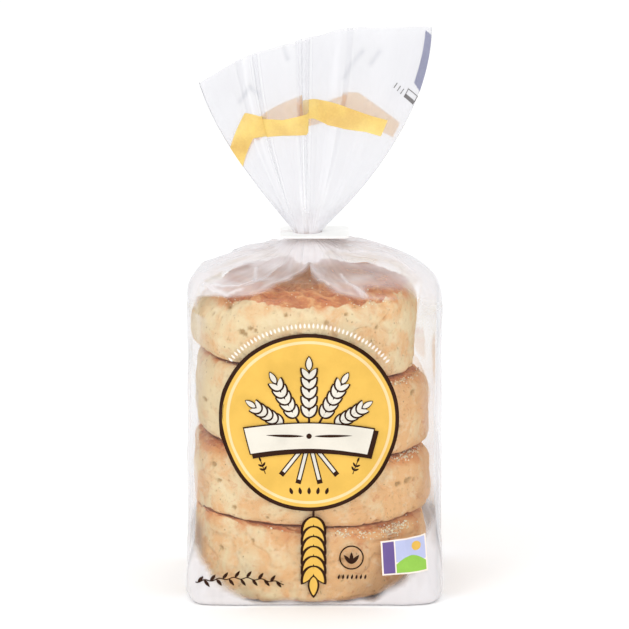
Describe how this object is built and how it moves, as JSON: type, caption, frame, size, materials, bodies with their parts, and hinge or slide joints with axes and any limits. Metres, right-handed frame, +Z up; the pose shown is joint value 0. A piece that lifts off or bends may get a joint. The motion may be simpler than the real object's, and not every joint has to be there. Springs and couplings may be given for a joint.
{
  "type": "bag of english muffins",
  "caption": "Clear plastic bag round a stack of english muffins, printed with a round panel on the front, gathered at the neck in a flat clip, with a slanted fan of loose film on top.",
  "frame": {"origin": "on the floor, under the middle of the bag", "axes": "+Z up, the printed front faces -Y, +X is to the right as the front is looked at"},
  "size_m": [0.1046, 0.1, 0.229],
  "materials": {
    "film": "thin clear film, glossy, slightly milky where it folds",
    "clip": "satin white plastic",
    "crust": "dry griddled crust, orange brown, uneven",
    "crumb": "dry pale dough skin with brown flecks",
    "print": "flat ink on film: yellow with dark brown and cream"
  },
  "bodies": {
    "root": {"bag": "film", "clip": "clip"}
  },
  "joints": []
}
